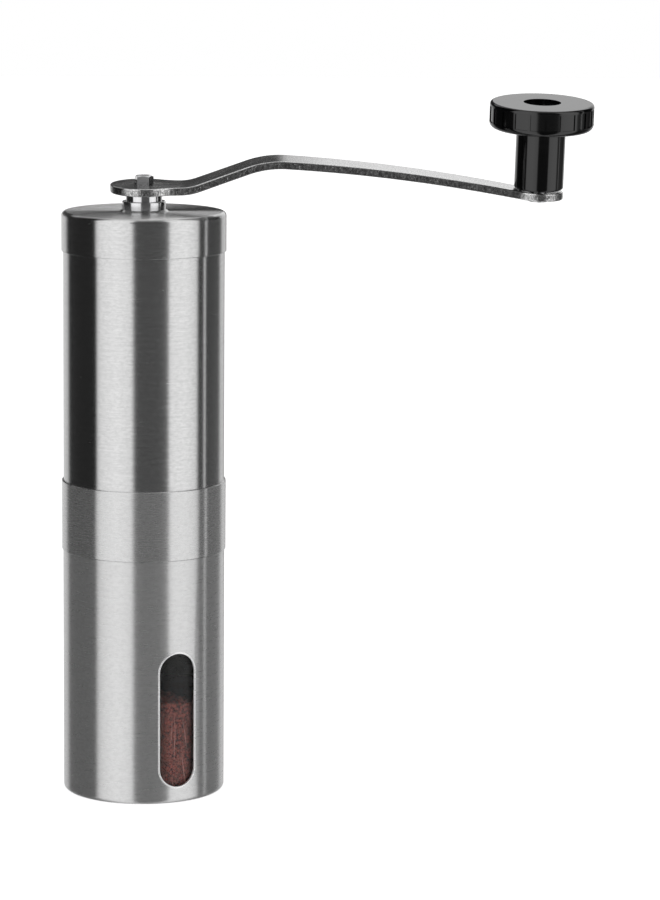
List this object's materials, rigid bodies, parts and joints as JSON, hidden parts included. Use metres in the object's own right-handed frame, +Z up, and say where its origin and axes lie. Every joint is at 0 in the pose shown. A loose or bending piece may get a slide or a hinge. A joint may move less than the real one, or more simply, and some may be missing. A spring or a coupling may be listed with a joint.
{
  "type": "hand crank coffee grinder",
  "caption": "Slim cylindrical hand coffee grinder in brushed steel: lid, bean hopper, conical burrs, cup with a window slot, and a lift-off bent crank arm with a black knob.",
  "frame": {"origin": "centre of the cup's flat base, on the body's axis", "axes": "+Z up along the body and the shaft, +X along the crank arm at rest, -Y towards the side with the window slot"},
  "size_m": [0.1544, 0.048, 0.205],
  "materials": {
    "body_steel": "brushed round the body",
    "clear_plastic": "clear, gloss",
    "black_plastic": "fine satin",
    "grey_plastic": "satin",
    "bush_bronze": "sintered, satin",
    "burr_ceramic": "matt, as fired",
    "bright_steel": "polished",
    "seal_rubber": "matt",
    "spring_steel": "drawn wire",
    "insert_brass": "turned",
    "arm_steel": "polished faces, rough blanked edges",
    "knob_plastic": "moulded, gloss"
  },
  "bodies": {
    "cup": {"ground_cup": "body_steel", "cup_liner": "clear_plastic"},
    "upper": {"middle_band": "body_steel", "upper_tube": "body_steel", "burr_housing": "black_plastic", "lower_bush": "bush_bronze", "outer_burr": "burr_ceramic", "burr_retainer": "grey_plastic", "retainer_screws": "bright_steel", "cup_seal": "seal_rubber", "upper_bracket": "black_plastic", "upper_bush": "bush_bronze"},
    "lid": {"lid": "body_steel", "lid_collar": "bright_steel", "lid_liner": "black_plastic"},
    "shaft": {"shaft": "bright_steel", "drive_collar": "bright_steel", "thrust_washer": "bright_steel", "shaft_clip": "spring_steel", "burr_spring": "spring_steel", "spring_washer": "bright_steel"},
    "inner_burr": {"inner_burr": "burr_ceramic", "burr_core": "grey_plastic", "click_plate": "black_plastic"},
    "nut": {"adjusting_nut": "black_plastic", "nut_insert": "insert_brass"},
    "arm": {"crank_arm": "arm_steel", "knob_post": "bright_steel", "knob_washer": "bright_steel"},
    "knob": {"knob": "knob_plastic"}
  },
  "joints": [
    {"name": "body_lift", "type": "slide", "parent": "cup", "child": "upper", "axis": [0, 0, 1], "range_m": [0, 0.06]},
    {"name": "crank_turn", "type": "hinge", "parent": "upper", "child": "shaft", "pos_m": [0, 0, 0.158], "axis": [0, 0, 1], "continuous": true},
    {"name": "arm_lift", "type": "slide", "parent": "shaft", "child": "arm", "axis": [0, 0, 1], "range_m": [0, 0.014]},
    {"name": "lid_lift", "type": "slide", "parent": "upper", "child": "lid", "axis": [0, 0, 1], "range_m": [0, 0.014]},
    {"name": "knob_spin", "type": "hinge", "parent": "arm", "child": "knob", "pos_m": [0.1148, -0.00006, 0.17771], "axis": [0.0175, -0.108, 0.994], "continuous": true},
    {"name": "burr_drop", "type": "slide", "parent": "shaft", "child": "inner_burr", "axis": [0, 0, -1], "range_m": [0, 0.0015], "deforming": ["burr_spring"]},
    {"name": "nut_turn", "type": "hinge", "parent": "inner_burr", "child": "nut", "pos_m": [0, 0, 0.056], "axis": [0, 0, -1], "range_deg": [0, 540.5]}
  ],
  "couplings": [
    {"joint": "lid_lift", "follows": "arm_lift", "ratio": 1},
    {"joint": "nut_turn", "follows": "burr_drop", "rad_per_m": 6283.2}
  ]
}
